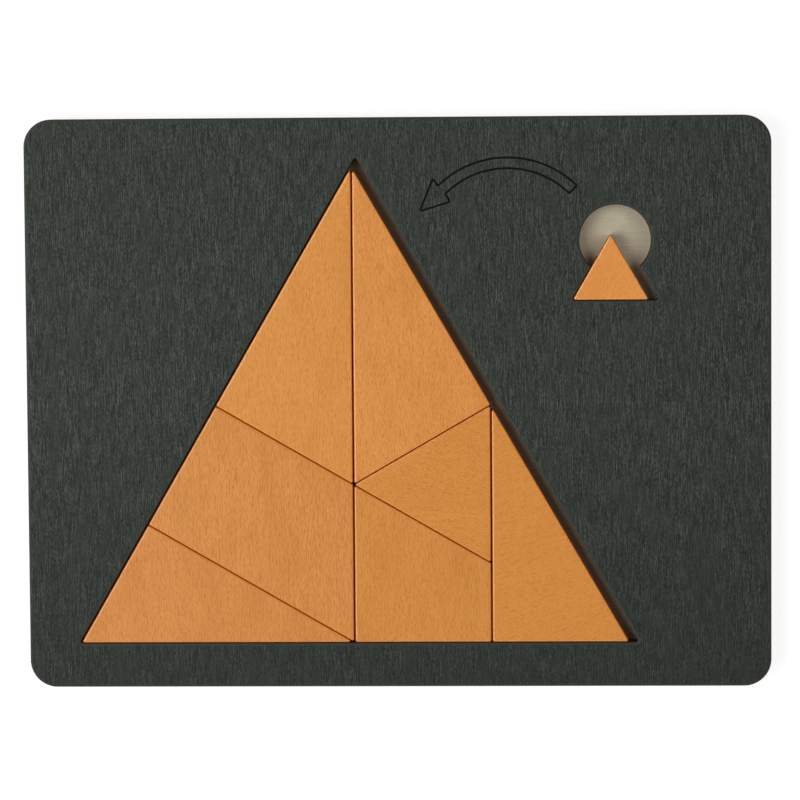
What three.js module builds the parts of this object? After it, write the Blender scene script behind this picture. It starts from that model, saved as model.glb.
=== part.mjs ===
// A wooden tray puzzle: seven loose tiles that make an equilateral triangle lie in the large window of
// a stained frame, and an eighth tile lies in a small keyhole-shaped window beside it. A plain base plate
// glued under the frame is the floor of both windows. Millimetres, +Z up, origin under the tray's middle.
import * as THREE from "three";

// Tray: the borders run from the large window's corners to the tray's edges
const FRAME_THICKNESS = 5;
const BASE_THICKNESS = 3;
const TRAY_CORNER_RADIUS = 5.5;
const TRAY_EDGE_EASE = 0.3;
const LEFT_BORDER = 10.1;
const RIGHT_BORDER = 26.6;
const LOWER_BORDER = 8.95;
const UPPER_BORDER = 7.85;

// Tiles
const PUZZLE_SIDE = 110.9; // side of the seven-tile triangle, over the tiles' outer edges
const SPARE_SIDE = 15.3;
const TILE_THICKNESS = 5;
const CUT_WIDTH = 0.1; // between two tiles
const UPRIGHT_CUT_WIDTH = 0.25;
const TILE_CORNER_RADIUS = 0.25;
const TILE_EDGE_EASE = 0.2;

// Gaps beside the tiles in their windows: they lie to the lower left, and the play is nearly all on the right
const PUZZLE_GAPS = { left: 0.3, lower: 0.1, right: 1.7 };
const SPARE_GAPS = { left: 0.1, lower: 0.1, right: 1.75 };
const WINDOW_CORNER_RADIUS = 0.4;

// Finger hole: a round hole on the upright axis of the small window
const FINGER_HOLE_RADIUS = 7.2;
const FINGER_HOLE_BELOW_APEX = 3.2; // from the small window's apex down to the hole's centre
const FINGER_HOLE_FROM_RIGHT = 31.2; // from the tray's right edge to the hole's centre
const FINGER_HOLE_FROM_TOP = 24.95; // from the tray's upper edge to the hole's centre

const TRAY_ARC_STEPS = 10;
const TILE_ARC_STEPS = 4;
const FINGER_HOLE_STEPS = 56;

const trayEdge = { ease: TRAY_EDGE_EASE, arcSteps: TRAY_ARC_STEPS };
const tileEdge = { ease: TILE_EDGE_EASE, arcSteps: TILE_ARC_STEPS };

const stainedWood = new THREE.MeshStandardMaterial({ color: "#3a403c", roughness: 0.75, metalness: 0 });
const plainWood = new THREE.MeshStandardMaterial({ color: "#cfc2a2", roughness: 0.7, metalness: 0 });
const orangeWood = new THREE.MeshStandardMaterial({ color: "#d28b47", roughness: 0.6, metalness: 0 });

const point = (x, y) => new THREE.Vector2(x, y);

// An equilateral triangle's corner, and its height over its side
const CORNER = Math.PI / 3;
const HEIGHT_OVER_SIDE = Math.sin(CORNER);

// An upright equilateral triangle, anticlockwise from its lower left corner
function triangle(corner, side) {
  const across = point(side, 0);
  const toApex = point(side / 2, side * HEIGHT_OVER_SIDE);
  return [corner, across.add(corner), toApex.add(corner)];
}

// The side of a triangle drawn around another one, with a gap at each of its three sides
const sideAround = (side, { left, lower, right }) => side + (left + lower + right) / HEIGHT_OVER_SIDE;

// The lower left corner of a triangle in its window
function cornerInWindow(corner, { left, lower }) {
  const across = (left + lower * Math.cos(CORNER)) / Math.sin(CORNER);
  return point(across, lower).add(corner);
}

const withNeighbours = (corners, i) => [
  corners.at(i - 1),
  corners[i],
  corners[(i + 1) % corners.length],
];

// Where an anticlockwise polygon's corner goes when the edges that arrive there and leave it move inwards
function inwards(before, corner, after, arrivingStep, leavingStep) {
  const arriving = corner.clone().sub(before).normalize();
  const leaving = after.clone().sub(corner).normalize();
  const turn = arriving.cross(leaving);
  const step = leaving.multiplyScalar(arrivingStep).sub(arriving.multiplyScalar(leavingStep));
  return step.divideScalar(turn).add(corner);
}

function addRoundCorner(path, before, corner, after, radius) {
  const centre = inwards(before, corner, after, radius, radius);
  const from = corner.clone().sub(before).angle() - Math.PI / 2;
  const to = after.clone().sub(corner).angle() - Math.PI / 2;
  path.absarc(centre.x, centre.y, radius, from, to, false);
}

function roundedPolygon(path, corners, radius) {
  corners.forEach((_, i) => addRoundCorner(path, ...withNeighbours(corners, i), radius));
  path.closePath();
  return path;
}

// A named plate with all its edges eased by a chamfer, its underside at the given height
function plate(name, shape, thickness, { ease, arcSteps }, underside, material) {
  const geometry = new THREE.ExtrudeGeometry(shape, {
    depth: thickness - 2 * ease,
    bevelEnabled: true,
    bevelSegments: 1,
    bevelThickness: ease,
    bevelSize: ease,
    bevelOffset: -ease,
    curveSegments: arcSteps,
  });
  const mesh = new THREE.Mesh(geometry.translate(0, 0, ease), material);
  mesh.name = name;
  mesh.position.z = underside;
  return mesh;
}

// Tray outline, with the origin in its middle
const windowSide = sideAround(PUZZLE_SIDE, PUZZLE_GAPS);
const trayWidth = LEFT_BORDER + windowSide + RIGHT_BORDER;
const trayDepth = LOWER_BORDER + windowSide * HEIGHT_OVER_SIDE + UPPER_BORDER;
const trayLowerLeft = point(-trayWidth / 2, -trayDepth / 2);
const trayUpperRight = point(trayWidth / 2, trayDepth / 2);

function trayOutline() {
  const corners = [
    trayLowerLeft,
    point(trayUpperRight.x, trayLowerLeft.y),
    trayUpperRight,
    point(trayLowerLeft.x, trayUpperRight.y),
  ];
  return roundedPolygon(new THREE.Shape(), corners, TRAY_CORNER_RADIUS);
}

// Windows
const windowCorner = point(LEFT_BORDER, LOWER_BORDER).add(trayLowerLeft);
const fingerHole = point(-FINGER_HOLE_FROM_RIGHT, -FINGER_HOLE_FROM_TOP).add(trayUpperRight);
const spareWindowSide = sideAround(SPARE_SIDE, SPARE_GAPS);
const spareWindowCorner = fingerHole
  .clone()
  .add(point(-spareWindowSide / 2, FINGER_HOLE_BELOW_APEX - spareWindowSide * HEIGHT_OVER_SIDE));

function largeWindow() {
  return roundedPolygon(new THREE.Path(), triangle(windowCorner, windowSide), WINDOW_CORNER_RADIUS);
}

// The lower part of a triangle, and the finger hole's arc from its right side over to its left side
function keyholeWindow() {
  const [left, right, top] = triangle(spareWindowCorner, spareWindowSide);
  const centreToSide = FINGER_HOLE_BELOW_APEX * Math.sin(CORNER / 2);
  const sideNormal = CORNER / 2;
  const start = sideNormal - Math.acos(centreToSide / FINGER_HOLE_RADIUS);
  const end = Math.PI - start;
  const path = new THREE.Path();
  addRoundCorner(path, top, left, right, WINDOW_CORNER_RADIUS);
  addRoundCorner(path, left, right, top, WINDOW_CORNER_RADIUS);
  for (let step = 0; step <= FINGER_HOLE_STEPS; step += 1) {
    const angle = THREE.MathUtils.lerp(start, end, step / FINGER_HOLE_STEPS);
    const reach = point(Math.cos(angle), Math.sin(angle)).multiplyScalar(FINGER_HOLE_RADIUS);
    path.lineTo(fingerHole.x + reach.x, fingerHole.y + reach.y);
  }
  path.closePath();
  return path;
}

function trayBase() {
  return plate("tray_base", trayOutline(), BASE_THICKNESS, trayEdge, 0, plainWood);
}

function trayFrame() {
  const shape = trayOutline();
  shape.holes.push(largeWindow(), keyholeWindow());
  return plate("tray_frame", shape, FRAME_THICKNESS, trayEdge, BASE_THICKNESS, stainedWood);
}

function tile(name, corners) {
  const shape = roundedPolygon(new THREE.Shape(), corners, TILE_CORNER_RADIUS);
  return plate(name, shape, TILE_THICKNESS, tileEdge, BASE_THICKNESS, orangeWood);
}

// Each edge of a drawn tile loses half the width of its cut
function cutLoss(from, to) {
  const upright = Math.abs(to.x - from.x) < CUT_WIDTH;
  return (upright ? UPRIGHT_CUT_WIDTH : CUT_WIDTH) / 2;
}

function sawn(corners) {
  return corners.map((_, i) => {
    const [before, corner, after] = withNeighbours(corners, i);
    return inwards(before, corner, after, cutLoss(before, corner), cutLoss(corner, after));
  });
}

// The seven tiles: a triangle drawn half a cut larger all round than the assembled one is divided by six
// straight cuts, and each tile then loses half a cut all round. The cuts meet on a grid of eighths of the
// drawn side and twelfths of its height, with its origin in the middle of the lower side.
function puzzleTiles() {
  const halfCut = CUT_WIDTH / 2;
  const drawnSide = sideAround(PUZZLE_SIDE, { left: halfCut, lower: halfCut, right: halfCut });
  const grid = (eighths, twelfths) =>
    point((eighths * drawnSide) / 8, (twelfths * drawnSide * HEIGHT_OVER_SIDE) / 12);

  const apex = grid(0, 12);
  const leftFoot = grid(-4, 0);
  const middleFoot = grid(0, 0);
  const quarterFoot = grid(2, 0);
  const rightFoot = grid(4, 0);
  const leftQuarter = grid(-3, 3);
  const leftMiddle = grid(-2, 6);
  const rightMiddle = grid(2, 6);
  const heart = grid(0, 4);
  const innerFoot = grid(2, 2);

  const drawnTiles = {
    top_left_tile: [apex, leftMiddle, heart],
    top_right_tile: [apex, heart, rightMiddle],
    middle_left_tile: [leftMiddle, leftQuarter, middleFoot, heart],
    bottom_left_tile: [leftQuarter, leftFoot, middleFoot],
    inner_tile: [heart, innerFoot, rightMiddle],
    bottom_middle_tile: [heart, middleFoot, quarterFoot, innerFoot],
    right_tile: [rightMiddle, quarterFoot, rightFoot],
  };

  const tiles = new THREE.Group();
  for (const [name, corners] of Object.entries(drawnTiles)) {
    tiles.add(tile(name, sawn(corners)));
  }
  const lowerLeft = cornerInWindow(windowCorner, PUZZLE_GAPS);
  tiles.position.set(lowerLeft.x + PUZZLE_SIDE / 2, lowerLeft.y - halfCut, 0);
  return tiles;
}

function spareTile() {
  return tile("spare_tile", triangle(cornerInWindow(spareWindowCorner, SPARE_GAPS), SPARE_SIDE));
}

const puzzle = new THREE.Group();
puzzle.add(trayBase(), trayFrame(), puzzleTiles(), spareTile());

export default puzzle;
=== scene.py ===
"""Looks of a wooden tray puzzle: a stained frame on a bare plywood base, and eight orange-dyed tiles.

Every plate takes its outline from its own CAD node and gets softly sanded edges. A curved arrow is burnt
into the frame's face. Lengths are named in millimetres and turned to metres where they are used.
"""
import math

import bmesh
import bpy
from mathutils import Euler, Matrix, Vector
from mathutils.geometry import intersect_line_line


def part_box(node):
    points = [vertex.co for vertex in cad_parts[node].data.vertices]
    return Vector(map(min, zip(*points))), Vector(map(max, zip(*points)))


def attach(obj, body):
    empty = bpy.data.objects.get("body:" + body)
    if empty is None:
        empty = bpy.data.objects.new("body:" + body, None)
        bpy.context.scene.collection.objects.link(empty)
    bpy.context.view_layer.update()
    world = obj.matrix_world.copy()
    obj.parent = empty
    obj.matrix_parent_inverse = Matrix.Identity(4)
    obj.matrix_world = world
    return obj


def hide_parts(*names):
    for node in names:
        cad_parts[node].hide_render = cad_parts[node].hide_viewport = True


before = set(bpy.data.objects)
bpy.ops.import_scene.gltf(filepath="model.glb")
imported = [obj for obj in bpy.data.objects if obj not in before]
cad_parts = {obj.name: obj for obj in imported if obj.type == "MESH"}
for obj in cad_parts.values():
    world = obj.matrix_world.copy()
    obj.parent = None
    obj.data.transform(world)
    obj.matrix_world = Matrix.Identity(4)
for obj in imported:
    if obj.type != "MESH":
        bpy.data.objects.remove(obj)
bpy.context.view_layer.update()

MM = 0.001

# Sanded edges
FRAME_RIM_RADIUS = 0.6  # the frame's upper edges
TRAY_EDGE_RADIUS = 0.25
TILE_EDGE_RADIUS = 0.4
TILE_CORNER_RADIUS = 0.35
SANDING_REACH = 2.0  # the widest that sanding can get; each edge takes its own share of this
EDGE_STEPS = 6
FACE_MARGIN = 0.02  # flat rim between a face and its rounded edge, so that the face shades flat
WELD_DISTANCE = 0.002
UPRIGHT_LIMIT = 0.01  # the normal of an upright wall has a smaller Z than this
STRAIGHT_SIDE = 2.0  # an outline's straight sides are longer than this, and the steps of its arcs shorter

# Wood
PLY = 1.0  # thickness of one ply in the frame and the base
GLUE_REACH = 0.12  # a glue line between two plies fades out this far from its middle
LATTICE_TURN = (0.6, 0.4, 0.7)  # radians
LONG_PORE = 4  # length of a tile's long pores over that of its short ones
PAINTED_FALLOFF_START = -2  # from here to its end along Y, painted shade makes the frame's face darker
PAINTED_FALLOFF_END = -57
PAINTED_SHADE_REACH = 4.0  # how far a warm brown painted shade reaches over the floor beside the large window's cuts
PAINTED_SHADE_STRENGTH = 0.42
PAINTED_APEX_SHADE_REACH = 3.5  # how far a near-black painted shade reaches round the window's apex
PAINTED_APEX_SHADE_STRENGTH = 0.9

# Burnt arrow: a quarter of a ring that opens into a straight-backed head
ARROW_FROM_RIGHT = 52.81  # from the tray's right edge to the ring's centre
ARROW_FROM_TOP = 28.12  # from the tray's upper edge to the ring's centre
ARROW_RADIUS = 18.85
ARROW_BAND = 2.15
ARROW_HEAD_WIDTH = 5.75
ARROW_HEAD_LENGTH = 6.1
ARROW_BARB_SLIDE = 0.43  # the outer barb lies this far back along the ring, and the inner one forward
ARROW_TAIL_ANGLE = 45.5
ARROW_HEAD_ANGLE = 134.2
ARROW_STEPS = 30
LINE_WIDTH = 0.44
LINE_CORNER_RADIUS = 0.24
LINE_CORNER_STEPS = 4
LINE_SIDES = 8

# Camera, fitted to the tray's edges and cuts in the picture, with its angles in degrees
CAMERA_DISTANCE = 800
CAMERA_AIM = (0.44, 0.69)
CAMERA_PITCH = -4.328
CAMERA_YAW = 2.183
CAMERA_ROLL = -0.252
SENSOR_WIDTH = 36
LENS = 178.9

# Light on the tray's face: the room and the two soft boxes add up to a plain level of about 1. A lamp has
# its azimuth and elevation in degrees, its distance and size in millimetres, and its share of the light
ROOM_SHARE = 0.22
SOFT_BOXES = {
    "left_soft_box": (193, 61, 620, 420, 0.64),
    "right_soft_box": (11, 58, 1000, 450, 0.265),
}
# White cards that only show in gloss
GLOSS_CARDS = {
    "left_card": (168, 42, 600, 600, 1.0),
    "front_card": (270, 40, 600, 500, 0.15),
}

# Floor
FLOOR_SIZE = 6000
FLOOR_DROP = 0.02  # keeps the floor's sheet clear of the tray's underside
FLOOR_GLOW = 0.8  # added to the floor's own level where the camera or gloss sees it


def linear(hex_colour):
    """An sRGB hex colour as linear RGBA."""
    channels = [int(hex_colour[i : i + 2], 16) / 255 for i in (1, 3, 5)]
    return [c / 12.92 if c <= 0.04045 else ((c + 0.055) / 1.055) ** 2.4 for c in channels] + [1]


def add(tree, kind, inputs=None, **settings):
    """Adds a node with its settings and gives its outputs. Inputs are constants or other nodes' outputs."""
    node = tree.nodes.new(kind)
    for setting, value in settings.items():
        setattr(node, setting, value)
    for key, value in (inputs or {}).items():
        socket = node.inputs[key]
        if socket.is_multi_input:
            for part in value:
                tree.links.new(part, socket)
        elif isinstance(value, bpy.types.NodeSocket):
            tree.links.new(value, socket)
        else:
            socket.default_value = value
    return node.outputs


# Materials


def new_material(name):
    material = bpy.data.materials.new(name)
    material.use_nodes = True
    material.node_tree.nodes.clear()
    return material, material.node_tree


def fibres(tree, place, width, length):
    """Wood fibres along Y, as a noise with a fibre's width and length in millimetres.

    The noise's own lattice is turned, so that its rows don't show across the fibres.
    """
    scale = (1 / (width * MM), 1 / (length * MM), 1 / (width * MM))
    settings = {"Vector": place, "Scale": scale, "Rotation": LATTICE_TURN}
    stretched = add(tree, "ShaderNodeMapping", settings)[0]
    inputs = {"Vector": stretched, "Scale": 1.0, "Detail": 1.0, "Roughness": 0.5}
    return add(tree, "ShaderNodeTexNoise", inputs)["Fac"]


def stained(tree, pattern, low, high, first, second, strength=1.0):
    """The first colour where a pattern is low, and up to a full strength of the second where it is high."""
    span = {"Value": pattern, "From Min": low, "From Max": high, "To Max": strength}
    share = add(tree, "ShaderNodeMapRange", span)[0]
    first, second = (linear(c) if isinstance(c, str) else c for c in (first, second))
    colours = {"Factor": share, "A": first, "B": second}
    return add(tree, "ShaderNodeMix", colours, data_type="RGBA")["Result"]


def steepness(tree, normal):
    """0 on flat faces, 1 on upright walls, and between the two on sanded edges."""
    lift = add(tree, "ShaderNodeSeparateXYZ", {0: normal})["Z"]
    flatness = add(tree, "ShaderNodeMath", {0: lift}, operation="ABSOLUTE")[0]
    return add(tree, "ShaderNodeMath", {0: 1.0, 1: flatness}, operation="SUBTRACT")[0]


def glue_lines(tree, place):
    """1 on the dark glue lines between plies that lie flat, and 0 beside them."""
    height = add(tree, "ShaderNodeSeparateXYZ", {0: place})["Z"]
    reach = add(tree, "ShaderNodeMath", {0: height, 1: PLY * MM / 2}, operation="PINGPONG")[0]
    inputs = {"Value": reach, "From Min": GLUE_REACH * MM, "From Max": 0.0}
    return add(tree, "ShaderNodeMapRange", inputs)[0]


def wood_finish(tree, colour, roughness, specular, height, relief):
    """Ends a wood material, with the relief of its fibres in millimetres."""
    bump = add(tree, "ShaderNodeBump", {"Height": height, "Distance": relief * MM})[0]
    surface = {
        "Base Color": colour,
        "Roughness": roughness,
        "Specular IOR Level": specular,
        "Normal": bump,
    }
    shader = add(tree, "ShaderNodeBsdfPrincipled", surface)[0]
    add(tree, "ShaderNodeOutputMaterial", {"Surface": shader})


def stained_frame_wood():
    """Basswood plywood in a thin grey-green water stain: matt, with short pale and dark fibres along Y.

    The stain drifts a little towards olive, and painted shade makes the face darker towards the tray's
    lower edge. The sanded edges go a warm grey, partly worn stain and partly a painted highlight, and the
    sawn walls stay dark brown with their glue lines showing.
    """
    material, tree = new_material("stained_frame_wood")
    coordinates = add(tree, "ShaderNodeTexCoord")
    place = coordinates["Object"]
    short = fibres(tree, place, width=0.1, length=0.65)
    long = fibres(tree, place, width=0.1, length=3.5)
    drift = fibres(tree, place, width=2.5, length=12.0)
    grain = add(tree, "ShaderNodeMix", {"Factor": 0.5, "A": short, "B": long})["Result"]
    upwards = add(tree, "ShaderNodeSeparateXYZ", {0: place})["Y"]
    face = stained(tree, grain, 0.46, 0.72, "#222723", "#5e655f")
    face = stained(tree, drift, 0.45, 0.7, face, "#343830", 0.45)
    # Painted shade: the face gets darker towards the tray's lower edge
    face = stained(tree, upwards, PAINTED_FALLOFF_START * MM, PAINTED_FALLOFF_END * MM, face, "#201f1d", 0.34)
    steep = steepness(tree, coordinates["Normal"])
    # Wear and painted highlight: the sanded edges are mixed towards a paler warm grey
    rim = stained(tree, steep, 0.0, 0.12, face, "#424139", 0.75)
    wall = stained(tree, glue_lines(tree, place), 0.0, 1.0, "#4c301c", "#1c110a")
    colour = stained(tree, steep, 0.5, 0.95, rim, wall)
    wood_finish(tree, colour, roughness=0.72, specular=0.1, height=grain, relief=0.02)
    return material


def orange_tile_wood(name, turn, shift, pore_size, face_colour, pore_colour):
    """Beech in an orange dye under a thin satin varnish: even, with small darker pores and glossy edges.

    The sawn sides drink more dye and no varnish, so they are deeper than the faces and matt.
    """
    material, tree = new_material(name)
    coordinates = add(tree, "ShaderNodeTexCoord")
    settings = {
        "Vector": coordinates["Object"],
        "Location": [s * MM for s in shift],
        "Rotation": (0, 0, math.radians(turn)),
    }
    place = add(tree, "ShaderNodeMapping", settings)[0]
    width, length = pore_size
    short = fibres(tree, place, width, length)
    long = fibres(tree, place, width, length * LONG_PORE)
    drift = fibres(tree, place, width=5.0, length=14.0)
    grain = add(tree, "ShaderNodeMix", {"Factor": 0.4, "A": short, "B": long})["Result"]
    face = stained(tree, grain, 0.45, 0.7, face_colour, pore_colour)
    face = stained(tree, drift, 0.4, 0.8, face, pore_colour, 0.25)
    steep = steepness(tree, coordinates["Normal"])
    colour = stained(tree, steep, 0.2, 0.5, face, "#cc620a")
    matt = {"Value": steep, "From Min": 0.2, "From Max": 0.5, "To Min": 0.5, "To Max": 0.02}
    specular = add(tree, "ShaderNodeMapRange", matt)[0]
    wood_finish(tree, colour, roughness=0.21, specular=specular, height=grain, relief=0.004)
    return material


def painted_window_shade(tree, place, colour, window_corners, floor_height):
    """Paints a warm brown shade on a floor along the cuts of the window over it, and a near-black painted
    shade where they meet at the apex.
    """
    for start, end in zip(window_corners, window_corners[1:] + window_corners[:1]):
        along = (end - start).normalized()
        across = Vector((along.y, -along.x, 0))
        ways = {0: place, 1: across}
        offset = add(tree, "ShaderNodeVectorMath", ways, operation="DOT_PRODUCT")["Value"]
        side = across.xy.dot(start)
        beside = add(tree, "ShaderNodeMath", {0: offset, 1: side}, operation="SUBTRACT")[0]
        reach = add(tree, "ShaderNodeMath", {0: beside}, operation="ABSOLUTE")[0]
        # Painted shade in warm brown, standing in for the dim orange bounce light in the narrow gaps beside
        # the cuts
        colour = stained(tree, reach, PAINTED_SHADE_REACH * MM, 0.0, colour, "#976534", PAINTED_SHADE_STRENGTH)
    # Painted shade: near black round the window's apex, where little light reaches the floor
    apex = max(window_corners, key=lambda corner: corner.y)
    ends = {0: place, 1: (*apex, floor_height)}
    reach = add(tree, "ShaderNodeVectorMath", ends, operation="DISTANCE")["Value"]
    return stained(tree, reach, PAINTED_APEX_SHADE_REACH * MM, 0.0, colour, "#0d0c0a", PAINTED_APEX_SHADE_STRENGTH)


def bare_plywood(window_corners, floor_height):
    """Untreated basswood plywood: pale and matt, with fine straight grain along X, and brown sawn walls.

    Its upper face has painted shade along the cuts of the large window over it.
    """
    material, tree = new_material("bare_plywood")
    coordinates = add(tree, "ShaderNodeTexCoord")
    place = coordinates["Object"]
    turned = add(tree, "ShaderNodeMapping", {"Vector": place, "Rotation": (0, 0, math.pi / 2)})[0]
    short = fibres(tree, turned, width=0.12, length=1.5)
    long = fibres(tree, turned, width=0.3, length=9.0)
    grain = add(tree, "ShaderNodeMix", {"Factor": 0.35, "A": short, "B": long})["Result"]
    face = stained(tree, grain, 0.35, 0.65, "#b0a790", "#bcb49d")
    # Painted shade along the large window's cuts and round its apex
    painted_shade_face = painted_window_shade(tree, place, face, window_corners, floor_height)
    height = add(tree, "ShaderNodeSeparateXYZ", {0: place})["Z"]
    face = stained(tree, height, floor_height - PLY * MM, floor_height, face, painted_shade_face)
    wall = stained(tree, glue_lines(tree, place), 0.0, 1.0, "#9c805a", "#4f3b27")
    colour = stained(tree, steepness(tree, coordinates["Normal"]), 0.3, 0.9, face, wall)
    wood_finish(tree, colour, roughness=0.75, specular=0.2, height=grain, relief=0.01)
    return material


def burnt_wood():
    """Wood charred by a fine hot point: nearly black and quite matt."""
    material, tree = new_material("burnt_wood")
    place = add(tree, "ShaderNodeTexCoord")["Object"]
    grain = fibres(tree, place, width=0.3, length=0.8)
    colour = stained(tree, grain, 0.3, 0.7, "#090a08", "#161814")
    wood_finish(tree, colour, roughness=0.9, specular=0.1, height=grain, relief=0.01)
    return material


# Geometry Nodes trees


def new_tree(name, inputs):
    """An empty geometry tree with named inputs, and the sockets that give them."""
    tree = bpy.data.node_groups.new(name, "GeometryNodeTree")
    tree.interface.new_socket("Geometry", in_out="INPUT", socket_type="NodeSocketGeometry")
    tree.interface.new_socket("Geometry", in_out="OUTPUT", socket_type="NodeSocketGeometry")
    for label, kind in inputs.items():
        tree.interface.new_socket(label, in_out="INPUT", socket_type=kind)
    return tree, add(tree, "NodeGroupInput")


def end_tree(tree, geometry, material=None):
    """Ends a tree in real geometry, with one material all over where one is given."""
    real = add(tree, "GeometryNodeRealizeInstances", {0: geometry})[0]
    if material:
        inputs = {"Geometry": real, "Material": material}
        real = add(tree, "GeometryNodeSetMaterial", inputs)[0]
    add(tree, "NodeGroupOutput", {0: real})
    return tree


def eased_plate_tree():
    """Turns plan outlines into a plate: rounded edges are swept along them, and both faces are filled."""
    sizes = {
        "Underside": "NodeSocketFloat",
        "Thickness": "NodeSocketFloat",
        "Upper Radius": "NodeSocketFloat",
        "Lower Radius": "NodeSocketFloat",
        "Edge Steps": "NodeSocketInt",
        "Face Margin": "NodeSocketFloat",
        "Material": "NodeSocketMaterial",
    }
    tree, given = new_tree("eased_plate", sizes)
    underside = given["Underside"]
    top = add(tree, "ShaderNodeMath", {0: underside, 1: given["Thickness"]})[0]
    outlines = add(tree, "GeometryNodeSetCurveNormal", {0: given["Geometry"]}, mode="Z_UP")[0]
    normal = add(tree, "GeometryNodeInputNormal")["Normal"]

    # Each flat face starts where its rounded edges end
    faces = []
    insets = []
    for height, radius in ((top, given["Upper Radius"]), (underside, given["Lower Radius"])):
        rim = add(tree, "ShaderNodeMath", {0: radius, 1: given["Face Margin"]})[0]
        inset = add(tree, "ShaderNodeMath", {0: rim, 1: -1.0}, operation="MULTIPLY")[0]
        step = add(tree, "ShaderNodeVectorMath", {0: normal, "Scale": inset}, operation="SCALE")[0]
        inner = add(tree, "GeometryNodeSetPosition", {0: outlines, "Offset": step})[0]
        sheet = add(tree, "GeometryNodeFillCurve", {0: inner}, mode="TRIANGLES")[0]
        sheet = add(tree, "GeometryNodeSetShadeSmooth", {0: sheet, "Shade Smooth": False})[0]
        lift = add(tree, "ShaderNodeCombineXYZ", {"Z": height})[0]
        faces.append(add(tree, "GeometryNodeTransform", {0: sheet, "Translation": lift})[0])
        insets.append(inset)
    upper, lower = faces
    upper_inset, lower_inset = insets
    lower = add(tree, "GeometryNodeFlipFaces", {0: lower})[0]

    # The swept profile's X points out of the plate and its Y points down
    corners = {}
    profile_corners = [(lower_inset, underside), (0.0, underside), (0.0, top), (upper_inset, top)]
    for number, (out, height) in enumerate(profile_corners, 1):
        down = add(tree, "ShaderNodeMath", {0: height, 1: -1.0}, operation="MULTIPLY")[0]
        corners[f"Point {number}"] = add(tree, "ShaderNodeCombineXYZ", {"X": out, "Y": down})[0]
    bracket = add(tree, "GeometryNodeCurvePrimitiveQuadrilateral", corners, mode="POINTS")[0]
    opened = add(tree, "GeometryNodeSetSplineCyclic", {0: bracket, "Cyclic": False})[0]
    index = add(tree, "GeometryNodeInputIndex")[0]
    last_lower = 1  # of the profile's points, counted from 0
    at_top = add(tree, "ShaderNodeMath", {0: index, 1: last_lower}, operation="GREATER_THAN")[0]
    ends = {"Factor": at_top, "A": given["Lower Radius"], "B": given["Upper Radius"]}
    radius = add(tree, "ShaderNodeMix", ends)["Result"]
    rounding = {"Curve": opened, "Count": given["Edge Steps"], "Radius": radius}
    profile = add(tree, "GeometryNodeFilletCurve", rounding, mode="POLY")[0]
    inside_out = add(tree, "GeometryNodeCurveToMesh", {"Curve": outlines, "Profile Curve": profile})[0]
    wall = add(tree, "GeometryNodeFlipFaces", {0: inside_out})[0]
    wall = add(tree, "GeometryNodeSetShadeSmooth", {0: wall, "Shade Smooth": True})[0]

    joined = add(tree, "GeometryNodeJoinGeometry", {0: [wall, upper, lower]})[0]
    weld = {"Geometry": joined, "Distance": WELD_DISTANCE * MM}
    welded = add(tree, "GeometryNodeMergeByDistance", weld)[0]
    return end_tree(tree, welded, given["Material"])


def tile_block_tree():
    """Turns a tile's plan outline into a block, and weights its rims and corners for their sanding."""
    sizes = {
        "Underside": "NodeSocketFloat",
        "Thickness": "NodeSocketFloat",
        "Rim Radius": "NodeSocketFloat",
        "Corner Radius": "NodeSocketFloat",
        "Reach": "NodeSocketFloat",
        "Material": "NodeSocketMaterial",
    }
    tree, given = new_tree("tile_block", sizes)
    flat = add(tree, "GeometryNodeFillCurve", {0: given["Geometry"]}, mode="NGONS")[0]
    lift = add(tree, "ShaderNodeCombineXYZ", {"Z": given["Underside"]})[0]
    sheet = add(tree, "GeometryNodeTransform", {0: flat, "Translation": lift})[0]
    raised = {"Mesh": sheet, "Offset Scale": given["Thickness"], "Individual": False}
    block = add(tree, "GeometryNodeExtrudeMesh", raised, mode="FACES")[0]
    underside = add(tree, "GeometryNodeFlipFaces", {0: sheet})[0]
    joined = add(tree, "GeometryNodeJoinGeometry", {0: [block, underside]})[0]
    weld = {"Geometry": joined, "Distance": WELD_DISTANCE * MM}
    welded = add(tree, "GeometryNodeMergeByDistance", weld)[0]
    smooth = add(tree, "GeometryNodeSetShadeSmooth", {0: welded, "Shade Smooth": True})[0]

    # An edge of a given radius is sanded back further the more sharply it turns
    ends = add(tree, "GeometryNodeInputMeshEdgeVertices")
    way = {0: ends["Position 1"], 1: ends["Position 2"]}
    rise = add(tree, "ShaderNodeVectorMath", way, operation="SUBTRACT")[0]
    rise = add(tree, "ShaderNodeSeparateXYZ", {0: rise})["Z"]
    level = add(tree, "ShaderNodeMath", {0: rise, 1: 0.0, 2: WELD_DISTANCE * MM}, operation="COMPARE")[0]
    radii = {"Factor": level, "A": given["Corner Radius"], "B": given["Rim Radius"]}
    radius = add(tree, "ShaderNodeMix", radii)["Result"]
    turn = add(tree, "GeometryNodeInputMeshEdgeAngle")["Unsigned Angle"]
    half_turn = add(tree, "ShaderNodeMath", {0: turn, 1: 0.5}, operation="MULTIPLY")[0]
    slope = add(tree, "ShaderNodeMath", {0: half_turn}, operation="TANGENT")[0]
    width = add(tree, "ShaderNodeMath", {0: slope, 1: radius}, operation="MULTIPLY")[0]
    weight = add(tree, "ShaderNodeMath", {0: width, 1: given["Reach"]}, operation="DIVIDE")[0]
    named = {"Geometry": smooth, "Name": "bevel_weight_edge", "Value": weight}
    weighted = add(tree, "GeometryNodeStoreNamedAttribute", named, domain="EDGE", data_type="FLOAT")[0]
    return end_tree(tree, weighted, given["Material"])


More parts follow.
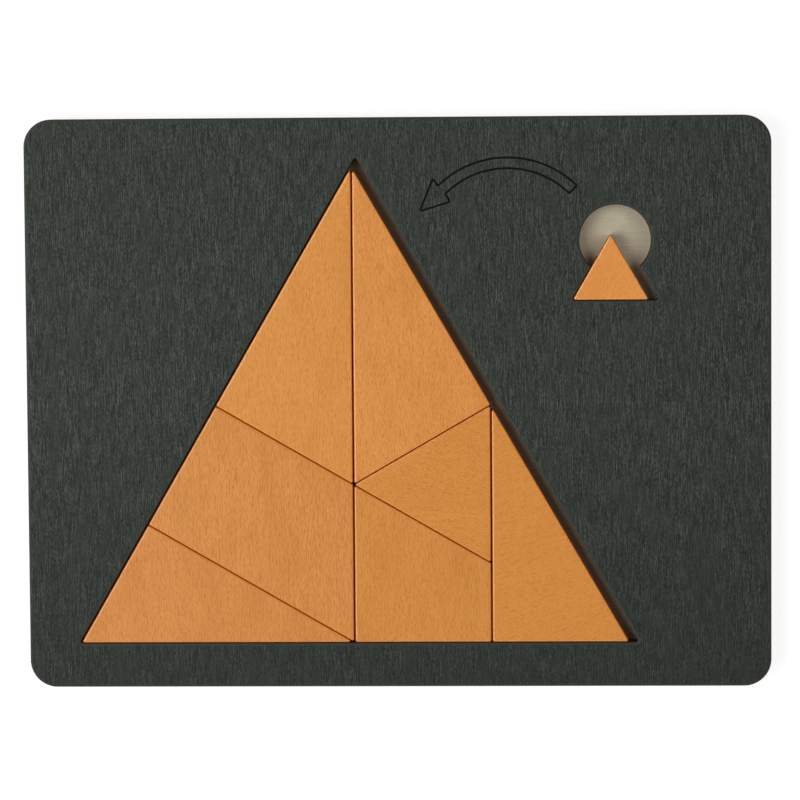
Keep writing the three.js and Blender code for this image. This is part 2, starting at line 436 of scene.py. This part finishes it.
def burnt_line_tree():
    """Cuts a half-round groove along a closed line that lies on a plate's face, and chars it."""
    sizes = {
        "Line": "NodeSocketObject",
        "Line Width": "NodeSocketFloat",
        "Corner Radius": "NodeSocketFloat",
        "Corner Steps": "NodeSocketInt",
        "Sides": "NodeSocketInt",
        "Burnt Material": "NodeSocketMaterial",
    }
    tree, given = new_tree("burnt_line", sizes)
    line = add(tree, "GeometryNodeObjectInfo", {"Object": given["Line"]})["Geometry"]
    rounding = {"Curve": line, "Count": given["Corner Steps"], "Radius": given["Corner Radius"]}
    rounded = add(tree, "GeometryNodeFilletCurve", rounding, mode="POLY")[0]
    upright = add(tree, "GeometryNodeSetCurveNormal", {0: rounded}, mode="Z_UP")[0]
    radius = add(tree, "ShaderNodeMath", {0: given["Line Width"], 1: 0.5}, operation="MULTIPLY")[0]
    circle = {"Resolution": given["Sides"], "Radius": radius}
    section = add(tree, "GeometryNodeCurvePrimitiveCircle", circle)[0]
    cutter = add(tree, "GeometryNodeCurveToMesh", {"Curve": upright, "Profile Curve": section})[0]
    char = {"Geometry": cutter, "Material": given["Burnt Material"]}
    charred = add(tree, "GeometryNodeSetMaterial", char)[0]
    pair = {"Mesh 1": given["Geometry"], "Mesh 2": [charred]}
    cut = add(tree, "GeometryNodeMeshBoolean", pair, operation="DIFFERENCE", solver="EXACT")[0]
    return end_tree(tree, cut)


# Making pieces


def add_object(name, data):
    made = bpy.data.objects.new(name, data)
    bpy.context.scene.collection.objects.link(made)
    return made


def closed_lines(name, rings, height=0.0):
    """A curve object of closed straight-sided lines, from plan points in metres."""
    curve = bpy.data.curves.new(name, "CURVE")
    curve.dimensions = "3D"
    for ring in rings:
        spline = curve.splines.new("POLY")
        spline.points.add(len(ring) - 1)
        for point, (x, y) in zip(spline.points, ring):
            point.co = (x, y, height, 1)
        spline.use_cyclic_u = True
    return add_object(name, curve)


def use_tree(holder, tree, values):
    """Adds a Geometry Nodes modifier and sets its named inputs."""
    modifier = holder.modifiers.new(tree.name, "NODES")
    modifier.node_group = tree
    for socket in tree.interface.items_tree:
        if socket.in_out == "INPUT" and socket.name in values:
            modifier[socket.identifier] = values[socket.name]


def bake(holder, name):
    """A plain mesh object of what a holder's modifiers make. The holder goes."""
    depsgraph = bpy.context.evaluated_depsgraph_get()
    mesh = bpy.data.meshes.new_from_object(
        holder.evaluated_get(depsgraph), preserve_all_data_layers=True, depsgraph=depsgraph
    )
    mesh.name = name
    bpy.data.objects.remove(holder)
    return add_object(name, mesh)


def wall_rings(node):
    """The plan outlines of a CAD plate's upright walls: anticlockwise outside, clockwise round a window."""
    mesh = bmesh.new()
    mesh.from_mesh(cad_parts[node].data)
    bmesh.ops.remove_doubles(mesh, verts=mesh.verts, dist=WELD_DISTANCE * MM)
    mesh.normal_update()
    low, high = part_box(node)
    middle = (low.z + high.z) / 2
    following = {}
    for face in mesh.faces:
        for loop in face.loops:
            start, end = loop.vert.co, loop.link_loop_next.vert.co
            level = abs(start.z - end.z) < WELD_DISTANCE * MM
            if level and abs(face.normal.z) < UPRIGHT_LIMIT and start.z < middle:
                following[tuple(start.xy)] = tuple(end.xy)
    mesh.free()
    rings = []
    while following:
        ring = []
        point = next(iter(following))
        while point in following:
            ring.append(point)
            point = following.pop(point)
        rings.append(ring)
    return rings


def eased_plate(node, upper_radius, material):
    """A holder for the plate with sanded edges that stands for a CAD node."""
    low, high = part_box(node)
    holder = closed_lines(f"{node}_outline", wall_rings(node))
    values = {
        "Underside": low.z,
        "Thickness": high.z - low.z,
        "Upper Radius": upper_radius * MM,
        "Lower Radius": TRAY_EDGE_RADIUS * MM,
        "Edge Steps": EDGE_STEPS,
        "Face Margin": FACE_MARGIN * MM,
        "Material": material,
    }
    use_tree(holder, plate_tree, values)
    return holder


def sharp_corners(ring):
    """The plan corners where an outline's straight sides would meet, without its arcs."""
    ring = [Vector((x, y, 0)) for x, y in ring]
    steps = zip(ring, ring[1:] + ring[:1])
    sides = [(start, end) for start, end in steps if (end - start).length > STRAIGHT_SIDE * MM]
    meetings = zip(sides[-1:] + sides[:-1], sides)
    return [intersect_line_line(*before, *after)[0].xy for before, after in meetings]


def sanded_tile(node, material):
    """A holder for the tile with sanded rims and corners that stands for a CAD node."""
    low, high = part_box(node)
    holder = closed_lines(f"{node}_outline", [sharp_corners(ring) for ring in wall_rings(node)])
    values = {
        "Underside": low.z,
        "Thickness": high.z - low.z,
        "Rim Radius": TILE_EDGE_RADIUS * MM,
        "Corner Radius": TILE_CORNER_RADIUS * MM,
        "Reach": SANDING_REACH * MM,
        "Material": material,
    }
    use_tree(holder, tile_tree, values)
    sanding = holder.modifiers.new("sanding", "BEVEL")
    sanding.limit_method = "WEIGHT"
    sanding.width = SANDING_REACH * MM
    sanding.segments = EDGE_STEPS
    sanding.use_clamp_overlap = False
    sanding.harden_normals = True
    return holder


def finish_piece(holder, node, body):
    """Bakes a holder as the piece that stands for a CAD node on its body."""
    piece = bake(holder, f"{node}_piece")
    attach(piece, body)
    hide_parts(node)


def arrow_outline():
    """The closed line round the arrow, anticlockwise from the tail's outer corner, in metres."""
    _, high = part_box("tray_frame")
    centre = Vector((high.x - ARROW_FROM_RIGHT * MM, high.y - ARROW_FROM_TOP * MM))

    def on_ring(offset, angle):
        reach = Vector((math.cos(math.radians(angle)), math.sin(math.radians(angle))))
        return centre + reach * (ARROW_RADIUS + offset) * MM

    sweep = ARROW_HEAD_ANGLE - ARROW_TAIL_ANGLE
    angles = [ARROW_TAIL_ANGLE + sweep * i / ARROW_STEPS for i in range(ARROW_STEPS + 1)]
    forward = (on_ring(0, ARROW_HEAD_ANGLE + 90) - centre).normalized() * MM
    tip = on_ring(0, ARROW_HEAD_ANGLE) + forward * ARROW_HEAD_LENGTH
    outer_arc = [on_ring(ARROW_BAND / 2, angle) for angle in angles]
    inner_arc = [on_ring(-ARROW_BAND / 2, angle) for angle in reversed(angles)]
    outer_barb = on_ring(ARROW_HEAD_WIDTH / 2, ARROW_HEAD_ANGLE) - forward * ARROW_BARB_SLIDE
    inner_barb = on_ring(-ARROW_HEAD_WIDTH / 2, ARROW_HEAD_ANGLE) + forward * ARROW_BARB_SLIDE
    return [*outer_arc, outer_barb, tip, inner_barb, *inner_arc]


# The object

plate_tree = eased_plate_tree()
tile_tree = tile_block_tree()
line_tree = burnt_line_tree()

cut_shapes = [sharp_corners(ring) for ring in wall_rings("tray_frame")]
triangles = [corners for corners in cut_shapes if len(corners) == 3]
large_window = max(triangles, key=lambda corners: (corners[1] - corners[0]).length)
base_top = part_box("tray_base")[1].z
base = eased_plate("tray_base", TRAY_EDGE_RADIUS, bare_plywood(large_window, base_top))
finish_piece(base, "tray_base", "tray")

frame_plate = eased_plate("tray_frame", FRAME_RIM_RADIUS, stained_frame_wood())
frame_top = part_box("tray_frame")[1].z
arrow = closed_lines("arrow_line", [arrow_outline()], frame_top)
line_values = {
    "Line": arrow,
    "Line Width": LINE_WIDTH * MM,
    "Corner Radius": LINE_CORNER_RADIUS * MM,
    "Corner Steps": LINE_CORNER_STEPS,
    "Sides": LINE_SIDES,
    "Burnt Material": burnt_wood(),
}
use_tree(frame_plate, line_tree, line_values)
finish_piece(frame_plate, "tray_frame", "tray")
bpy.data.objects.remove(arrow)

# Wood of each tile: turn in degrees, shift and pore size in millimetres, face colour and pore colour
TILE_WOODS = {
    "top_left_tile": (2, (31, 7, 3), (0.11, 0.85), "#dd964c", "#bb7329"),
    "top_right_tile": (-2, (83, 41, 11), (0.11, 0.85), "#e0964f", "#ba7128"),
    "middle_left_tile": (1, (17, 91, 23), (0.11, 1.1), "#d89049", "#b26a25"),
    "bottom_left_tile": (-3, (59, 29, 37), (0.11, 0.85), "#d68d47", "#b46a25"),
    "inner_tile": (105, (11, 67, 47), (0.28, 0.55), "#d78e44", "#c07930"),
    "bottom_middle_tile": (0, (97, 3, 53), (0.11, 0.85), "#d78f47", "#b77026"),
    "right_tile": (68, (43, 79, 61), (0.35, 0.6), "#d68d42", "#c57d34"),
    "spare_tile": (30, (71, 13, 71), (0.2, 0.35), "#e4984e", "#ce8139"),
}
for tile, wood in TILE_WOODS.items():
    holder = sanded_tile(tile, orange_tile_wood(f"orange_{tile}_wood", *wood))
    finish_piece(holder, tile, tile)

# Stage


def white_floor():
    """A white sweep: it shows white to the camera and in gloss, and still takes a soft shadow."""
    material, tree = new_material("white_floor")
    rays = add(tree, "ShaderNodeLightPath")
    seen = rays["Is Camera Ray"]
    for ray in ("Is Glossy Ray", "Is Transmission Ray"):
        seen = add(tree, "ShaderNodeMath", {0: seen, 1: rays[ray]}, operation="MAXIMUM")[0]
    paper = add(tree, "ShaderNodeBsdfDiffuse", {"Color": linear("#999999")})[0]
    strength = add(tree, "ShaderNodeMapRange", {"Value": seen, "To Max": FLOOR_GLOW})[0]
    glow = add(tree, "ShaderNodeEmission", {"Strength": strength})[0]
    both = add(tree, "ShaderNodeAddShader", {0: paper, 1: glow})[0]
    add(tree, "ShaderNodeOutputMaterial", {"Surface": both})
    return material


def add_floor():
    half = FLOOR_SIZE / 2 * MM
    plan = [(-half, -half), (half, -half), (half, half), (-half, half)]
    mesh = bpy.data.meshes.new("floor")
    mesh.from_pydata([(x, y, -FLOOR_DROP * MM) for x, y in plan], [], [(0, 1, 2, 3)])
    mesh.materials.append(white_floor())
    add_object("floor", mesh)


def add_room():
    """An even dim room, which the camera sees as white."""
    world = bpy.data.worlds.new("white_room")
    world.use_nodes = True
    tree = world.node_tree
    tree.nodes.clear()
    seen = add(tree, "ShaderNodeLightPath")["Is Camera Ray"]
    strength = add(tree, "ShaderNodeMix", {"Factor": seen, "A": ROOM_SHARE, "B": 1.0})["Result"]
    room = add(tree, "ShaderNodeBackground", {"Strength": strength})[0]
    add(tree, "ShaderNodeOutputWorld", {"Surface": room})
    bpy.context.scene.world = world


def add_lamp(name, azimuth, elevation, distance, size, share, only_gloss):
    """A square lamp aimed at the tray, which only shows in gloss or lights the tray without glints."""
    turn = Euler((0, math.radians(90 - elevation), math.radians(azimuth)))
    reach = distance * MM
    light = bpy.data.lights.new(name, "AREA")
    light.size = size * MM
    # At this power, a white face lit by the lamp alone has its share as its level
    light.energy = share * math.pi**2 * reach**2 / math.sin(math.radians(elevation))
    lamp = add_object(name, light)
    lamp.rotation_euler = turn
    lamp.location = turn.to_matrix() @ Vector((0, 0, reach))
    lamp.visible_camera = False
    lamp.visible_glossy = only_gloss
    lamp.visible_diffuse = not only_gloss


def add_camera():
    camera = bpy.data.cameras.new("camera")
    camera.sensor_width = SENSOR_WIDTH
    camera.lens = LENS
    turn = Euler([math.radians(a) for a in (CAMERA_PITCH, CAMERA_YAW, CAMERA_ROLL)], "ZYX")
    aim = Vector((*CAMERA_AIM, frame_top / MM)) * MM
    turned = turn.to_matrix()
    stand = aim + turned @ Vector((0, 0, CAMERA_DISTANCE * MM))
    holder = add_object("camera", camera)
    holder.matrix_world = Matrix.Translation(stand) @ turned.to_4x4()
    bpy.context.scene.camera = holder


add_floor()
add_room()
for name, lamp in SOFT_BOXES.items():
    add_lamp(name, *lamp, only_gloss=False)
for name, lamp in GLOSS_CARDS.items():
    add_lamp(name, *lamp, only_gloss=True)
add_camera()
bpy.context.scene.view_settings.view_transform = "Standard"
